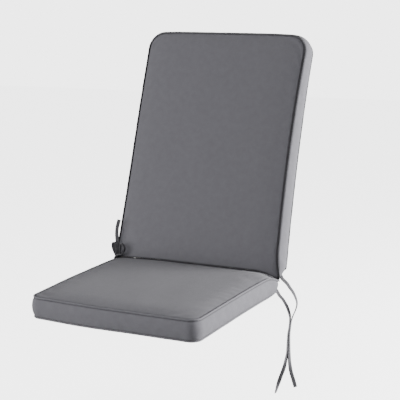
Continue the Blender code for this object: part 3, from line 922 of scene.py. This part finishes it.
def twisted_material(name, colour):
    """Twisted cord: bands that climb round it, from the place round plus the place along, with painted shade
    darkening the grooves between the strands.
    """
    mat, tree, bsdf = plain_material(name, 0.9)
    surface = put(tree, "ShaderNodeUVMap", uv_map="UVMap").outputs[0]
    split = put(tree, "ShaderNodeSeparateXYZ", {0: surface}).outputs
    climb = math_node(tree, "ADD", math_node(tree, "MULTIPLY", split[0], 2140.0),
                      math_node(tree, "MULTIPLY", split[1], 1900.0))
    strand = math_node(tree, "ABSOLUTE", math_node(tree, "SINE", climb))
    # Painted shade: the grooves between strands, where the bump is low, are darkened to 0.6 of the colour.
    tone = blend_colours(tree, strand, shade(colour, 0.6), shade(colour, 1.0))
    bump = put(tree, "ShaderNodeBump", {"Strength": 0.7, "Distance": 0.0004, "Height": strand})
    tree.links.new(tone, bsdf.inputs["Base Color"])
    tree.links.new(bump.outputs[0], bsdf.inputs["Normal"])
    return mat


MADE = {}


def materials():
    """The object's finishes, made once."""
    if not MADE:
        tints = bpy.context.scene.chair_pad_colours
        width = 1.02 * bpy.context.scene.chair_pad_ties.width
        MADE["cover_cloth"] = cloth_material("cover_cloth", tints.cloth, seam_shade=True)
        MADE["seat_piping_cloth"] = cloth_material("seat_piping_cloth", tints.cloth,
                                                   wrinkle=0.0002)
        # The back pad's piping gets the near-black painted-shade colour, and painted light towards the tie colour
        # at its top.
        MADE["back_piping_cloth"] = cloth_material("back_piping_cloth", tints.back_piping,
                                                   wrinkle=0.0002, painted_top_light=tints.tie)
        MADE["facing_cloth"] = cloth_material("facing_cloth", tints.cloth,
                                              stitches=(0.0022, 0.031, 0.0032))
        MADE["tie_cloth"] = cloth_material("tie_cloth", tints.tie,
                                           stitches=(0.0011, width, 0.0028))
        MADE["foam"] = noise_material("foam", tints.foam, 900.0, 0.0005, 0.92)
        MADE["piping_cord"] = twisted_material("piping_cord", tints.cord)
        MADE["zip_tape"] = cloth_material("zip_tape", tints.tape, 0.0004,
                                          stitches=(0.0045, 0.0144, 0.0022))
        MADE["zip_coil"] = noise_material("zip_coil", tints.tape, 300.0, 0.00005, 0.45)
        MADE["slider_metal"] = noise_material("slider_metal", tints.metal, 240.0, 0.00004, 0.38,
                                              spread=0.08, metallic=0.8)
    return MADE


# Studio

def make_camera(settings):
    """A camera on a sphere round the aim point, turned to look at it and then rolled."""
    az, el = settings.azimuth, settings.elevation
    back = Vector((math.sin(az) * math.cos(el), -math.cos(az) * math.cos(el), math.sin(el)))
    right = (-back).cross(Vector((0, 0, 1))).normalized()
    up = right.cross(-back)
    c, s = math.cos(settings.roll), math.sin(settings.roll)
    right, up = c * right + s * up, -s * right + c * up
    data = bpy.data.cameras.new("camera")
    data.lens = settings.lens
    data.sensor_width = 36.0
    camera = bpy.data.objects.new("camera", data)
    bpy.context.scene.collection.objects.link(camera)
    matrix = Matrix((right, up, back)).transposed().to_4x4()
    matrix.translation = Vector(FOLD) + Vector(settings.aim) + back * settings.distance
    camera.matrix_world = matrix
    bpy.context.scene.camera = camera


def make_light(name, place, aim, size, power):
    data = bpy.data.lights.new(name, "AREA")
    data.shape = "DISK"
    data.size = size
    data.energy = power
    light = bpy.data.objects.new(name, data)
    light.location = place
    light.rotation_euler = (Vector(place) - Vector(aim)).to_track_quat("Z", "Y").to_euler()
    bpy.context.scene.collection.objects.link(light)


def make_stage(studio):
    """A pale floor, a bright even surround, and broad soft lights right, overhead and left."""
    side = 8.0
    corner = np.array([(-side, -side), (side, -side), (side, side), (-side, side)])
    points = np.concatenate([corner, np.full((4, 1), studio.floor)], axis=1)
    mat, tree, bsdf = plain_material("pale_floor", 0.9, base_color=(0.9, 0.9, 0.9, 1.0),
                                     emission_color=(1.0, 1.0, 1.0, 1.0),
                                     emission_strength=studio.backdrop - 0.5)
    floor = new_piece("floor", points, np.arange(4), mat, corner)
    floor.visible_diffuse = False
    floor.visible_glossy = False
    make_light("key_light", (2.5, 1.2, 0.45), (0.1, 0.1, 0.2), 1.4, studio.key)
    make_light("top_light", (-0.3, -0.9, 2.6), (0.0, 0.1, 0.2), 1.8, studio.top)
    make_light("left_light", (-1.7, -2.0, 0.3), (0.0, 0.1, 0.2), 3.2, studio.left)
    world = bpy.data.worlds.new("studio")
    world.use_nodes = True
    tree = world.node_tree
    lit = tree.nodes["Background"]
    lit.inputs[0].default_value = (0.97, 0.98, 1.0, 1.0)
    lit.inputs[1].default_value = studio.fill
    seen = put(tree, "ShaderNodeBackground", {0: (1.0, 1.0, 1.0, 1.0), 1: studio.backdrop})
    ray = put(tree, "ShaderNodeLightPath").outputs["Is Camera Ray"]
    both = put(tree, "ShaderNodeMixShader", {0: ray, 1: lit.outputs[0], 2: seen.outputs[0]})
    tree.links.new(both.outputs[0], tree.nodes["World Output"].inputs[0])
    bpy.context.scene.world = world


# Operators

class ChairPadOperator:
    bl_options = {"REGISTER", "UNDO"}


class CHAIRPAD_OT_camera(ChairPadOperator, bpy.types.Operator):
    """Place the camera."""
    bl_idname = "chairpad.camera"
    bl_label = "Camera"

    def execute(self, context):
        make_camera(context.scene.chair_pad_camera)
        return {"FINISHED"}


class CHAIRPAD_OT_right_ties(ChairPadOperator, bpy.types.Operator):
    """Hang the two loose ties on the right."""
    bl_idname = "chairpad.right_ties"
    bl_label = "Right ties"

    def execute(self, context):
        low, low_path, length = make_tie("lower_tie_right", SEAT, 1, LOWER_RIGHT, LOWER_RIGHT_TURNS)
        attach(low, "seat")
        high, path, length = make_tie("upper_tie_right", BACK, 1, UPPER_RIGHT, UPPER_RIGHT_TURNS)
        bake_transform(high)
        return {"FINISHED"}


class CHAIRPAD_OT_left_bow(ChairPadOperator, bpy.types.Operator):
    """Tie the two ties on the left in a bow."""
    bl_idname = "chairpad.left_bow"
    bl_label = "Left bow"

    def execute(self, context):
        knot = make_knot()
        low, path, length = make_tie("lower_tie_left", SEAT, -1, LOWER_LEFT, LOWER_LEFT_TURNS)
        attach(low, "seat")
        high, path, length = make_tie("upper_tie_left", BACK, -1, UPPER_LEFT, UPPER_LEFT_TURNS)
        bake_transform(high)
        return {"FINISHED"}


class CHAIRPAD_OT_covers(ChairPadOperator, bpy.types.Operator):
    """Sew and fill the covers of both pads."""
    bl_idname = "chairpad.covers"
    bl_label = "Covers"

    def execute(self, context):
        for pad in PADS:
            make_cover(pad)
        return {"FINISHED"}


class CHAIRPAD_OT_foam(ChairPadOperator, bpy.types.Operator):
    """Cut the filling of both pads."""
    bl_idname = "chairpad.foam"
    bl_label = "Filling"

    def execute(self, context):
        for pad in PADS:
            make_foam(pad)
        return {"FINISHED"}


class CHAIRPAD_OT_piping(ChairPadOperator, bpy.types.Operator):
    """Run the piping and its filler cord round both rims of both pads."""
    bl_idname = "chairpad.piping"
    bl_label = "Piping"

    def execute(self, context):
        for pad in PADS:
            make_piping(pad)
        return {"FINISHED"}


class CHAIRPAD_OT_zips(ChairPadOperator, bpy.types.Operator):
    """Fit a zip, its facings and its slider to each pad's fold end."""
    bl_idname = "chairpad.zips"
    bl_label = "Zips"

    def execute(self, context):
        for pad in PADS:
            make_zip(pad)
        return {"FINISHED"}


class CHAIRPAD_OT_fold_strip(ChairPadOperator, bpy.types.Operator):
    """Sew the strip that joins the two pads."""
    bl_idname = "chairpad.fold_strip"
    bl_label = "Fold strip"

    def execute(self, context):
        make_fold_strip()
        return {"FINISHED"}


class CHAIRPAD_OT_stage(ChairPadOperator, bpy.types.Operator):
    """Lay the floor and set the lights."""
    bl_idname = "chairpad.stage"
    bl_label = "Stage"

    def execute(self, context):
        make_stage(context.scene.chair_pad_studio)
        return {"FINISHED"}


OPERATORS = (CHAIRPAD_OT_camera, CHAIRPAD_OT_right_ties, CHAIRPAD_OT_left_bow,
             CHAIRPAD_OT_covers, CHAIRPAD_OT_foam, CHAIRPAD_OT_piping, CHAIRPAD_OT_zips,
             CHAIRPAD_OT_fold_strip, CHAIRPAD_OT_stage)
GROUPS = {"chair_pad_covers": ChairPadCovers, "chair_pad_ties": ChairPadTies,
          "chair_pad_colours": ChairPadColours, "chair_pad_camera": ChairPadCamera,
          "chair_pad_studio": ChairPadStudio}


class CHAIRPAD_PT_panel(bpy.types.Panel):
    """The pieces, in the order that they are made."""
    bl_label = "Chair pad"
    bl_idname = "CHAIRPAD_PT_panel"
    bl_space_type = "VIEW_3D"
    bl_region_type = "UI"
    bl_category = "Chair Pad"

    def draw(self, context):
        for group in GROUPS:
            box = self.layout.box()
            box.label(text=group.replace("chair_pad_", "").title())
            settings = getattr(context.scene, group)
            for key in settings.__annotations__:
                box.prop(settings, key)
        for operator in OPERATORS:
            self.layout.operator(operator.bl_idname)


def register():
    for group, kind in GROUPS.items():
        bpy.utils.register_class(kind)
        setattr(bpy.types.Scene, group, bpy.props.PointerProperty(type=kind))
    for kind in OPERATORS + (CHAIRPAD_PT_panel,):
        bpy.utils.register_class(kind)


def unregister():
    for kind in reversed(OPERATORS + (CHAIRPAD_PT_panel,)):
        bpy.utils.unregister_class(kind)
    for group, kind in GROUPS.items():
        delattr(bpy.types.Scene, group)
        bpy.utils.unregister_class(kind)


def main():
    """Registers the classes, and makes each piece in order."""
    register()
    for operator in OPERATORS:
        call = getattr(bpy.ops.chairpad, operator.bl_idname.split(".")[1])
        if call() != {"FINISHED"}:
            raise RuntimeError(operator.bl_idname)


if __name__ == "__main__":
    main()
